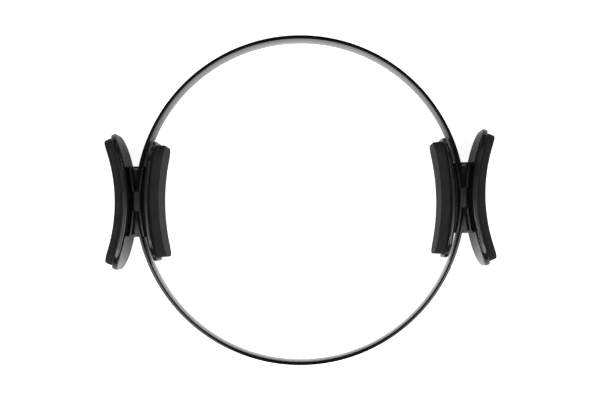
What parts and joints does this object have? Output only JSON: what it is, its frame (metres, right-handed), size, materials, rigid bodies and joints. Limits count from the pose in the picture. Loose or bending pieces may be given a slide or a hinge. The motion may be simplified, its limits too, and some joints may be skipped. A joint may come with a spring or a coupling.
{
  "type": "pilates ring",
  "caption": "Springy flat hoop with a handle on each side; each handle has a concave foam pad facing outwards and one facing inwards, for pressing with hands or legs.",
  "frame": {"origin": "the ring's centre, on the surface that the ring lies on", "axes": "+Z along the hoop's axis, up; +X from the centre to the right handle; +Y along the free part of the hoop"},
  "size_m": [0.4226, 0.357, 0.077],
  "materials": {
    "spring_steel": "hardened, oiled",
    "jacket": "smooth satin",
    "pad_plastic": "moulded satin gloss",
    "clamp_plastic": "moulded satin",
    "foam": "closed-cell foam, fine pores",
    "screw_steel": "zinc plated"
  },
  "bodies": {
    "hoop": {"spring_strip": "spring_steel", "band_jacket": "jacket"},
    "left_handle": {"left_outer_foam": "foam", "left_outer_plate": "pad_plastic", "left_outer_pad_screws": "screw_steel", "left_outer_clamp": "clamp_plastic", "left_inner_foam": "foam", "left_inner_plate": "pad_plastic", "left_inner_pad_screws": "screw_steel", "left_inner_clamp": "clamp_plastic", "left_clamp_screws": "screw_steel"},
    "right_handle": {"right_outer_foam": "foam", "right_outer_plate": "pad_plastic", "right_outer_pad_screws": "screw_steel", "right_outer_clamp": "clamp_plastic", "right_inner_foam": "foam", "right_inner_plate": "pad_plastic", "right_inner_pad_screws": "screw_steel", "right_inner_clamp": "clamp_plastic", "right_clamp_screws": "screw_steel"}
  },
  "joints": [
    {"name": "left_press", "type": "slide", "parent": "hoop", "child": "left_handle", "axis": [1, 0, 0], "range_m": [-0.01, 0.03], "stiffness_N_per_m": 3200, "deforming": ["band_jacket", "spring_strip"]},
    {"name": "right_press", "type": "slide", "parent": "hoop", "child": "right_handle", "axis": [-1, 0, 0], "range_m": [-0.01, 0.03], "stiffness_N_per_m": 3200, "deforming": ["band_jacket", "spring_strip"]}
  ],
  "couplings": [
    {"joint": "right_press", "follows": "left_press", "ratio": 1}
  ]
}
